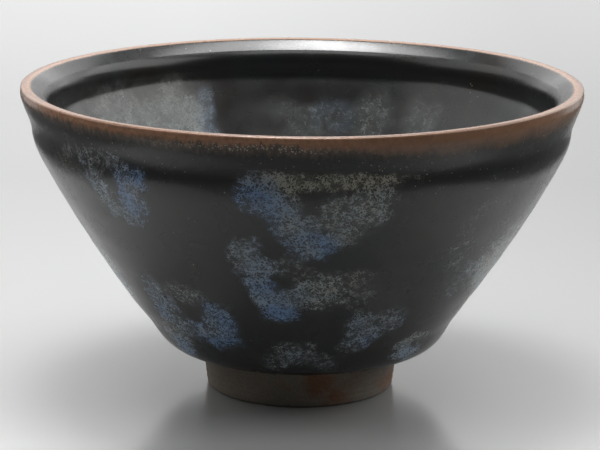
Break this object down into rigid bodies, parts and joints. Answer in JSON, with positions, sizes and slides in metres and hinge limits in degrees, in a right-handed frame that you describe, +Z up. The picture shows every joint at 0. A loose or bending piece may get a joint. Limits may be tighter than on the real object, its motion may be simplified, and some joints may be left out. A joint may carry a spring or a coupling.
{
  "type": "tea bowl",
  "caption": "Conical stoneware tea bowl with a pinched neck, a flared lip and a small turned foot ring, under a black iron glaze with blue-grey splashes.",
  "frame": {"origin": "centre of the foot ring's bearing face, on the surface that the bowl stands on", "axes": "+Z up along the bowl's axis of turning, -Y towards the side that the picture shows"},
  "size_m": [0.125, 0.125, 0.0696],
  "materials": {
    "stoneware": "bare fired stoneware, matte, with a fine grit",
    "black_glaze": "satin gloss black iron glaze with blue-grey splashes",
    "brown_glaze": "thin rust-brown iron glaze over the lip"
  },
  "bodies": {
    "root": {"clay_body": "stoneware", "outer_glaze": "black_glaze", "lip_glaze": "brown_glaze", "inner_glaze": "black_glaze"}
  },
  "joints": []
}
